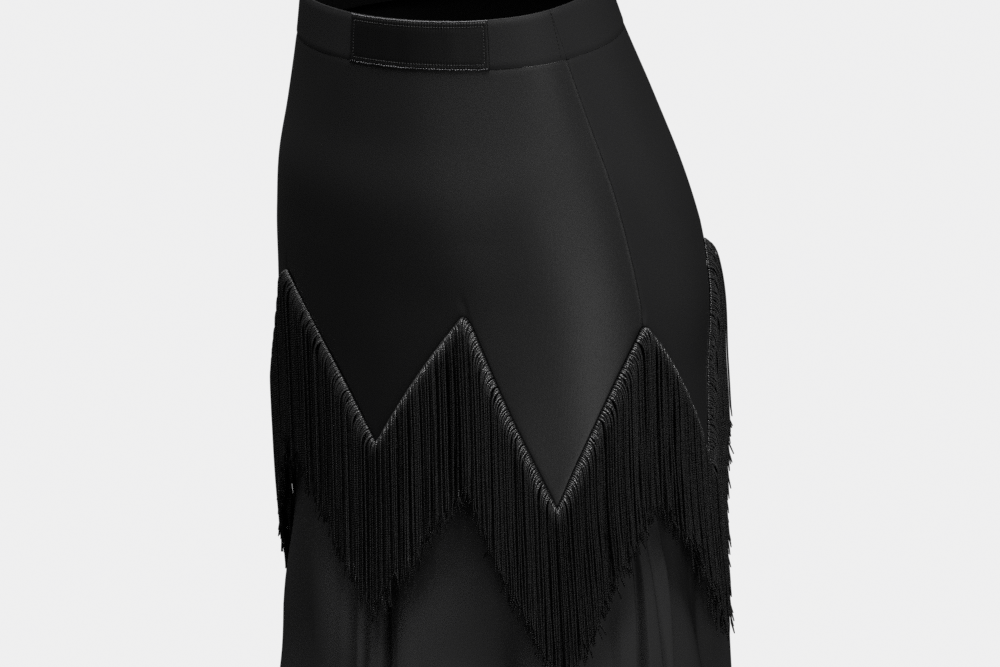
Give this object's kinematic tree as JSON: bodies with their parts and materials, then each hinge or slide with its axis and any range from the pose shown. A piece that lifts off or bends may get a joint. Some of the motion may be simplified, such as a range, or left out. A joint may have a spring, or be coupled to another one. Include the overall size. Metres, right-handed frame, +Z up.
{
  "type": "fringed dance skirt",
  "caption": "Long dance skirt in its worn form: flat waistband, fitted hip yoke with a zigzag edge, chainette fringe along the zigzag and a fluted open-hemmed lower skirt.",
  "frame": {"origin": "centre of the waist opening, level with the top of the waistband at the middle of its depth", "axes": "+Z up, the wearer's front faces -Y, the wearer's left is +X"},
  "size_m": [0.5624, 0.4718, 0.891],
  "materials": {
    "jersey": "smooth black stretch jersey with a soft sheen",
    "satin_label": "black satin patch with a stitched edge, left bare",
    "skirt_cloth": "light black jersey, matt",
    "fringe_thread": "glossy black chainette thread"
  },
  "bodies": {
    "root": {"waistband_front": "jersey", "waistband_back": "jersey", "label_patch": "satin_label", "yoke_front": "jersey", "yoke_back": "jersey", "skirt_front": "skirt_cloth", "skirt_back": "skirt_cloth", "fringe_front": "fringe_thread", "fringe_back": "fringe_thread"}
  },
  "joints": []
}
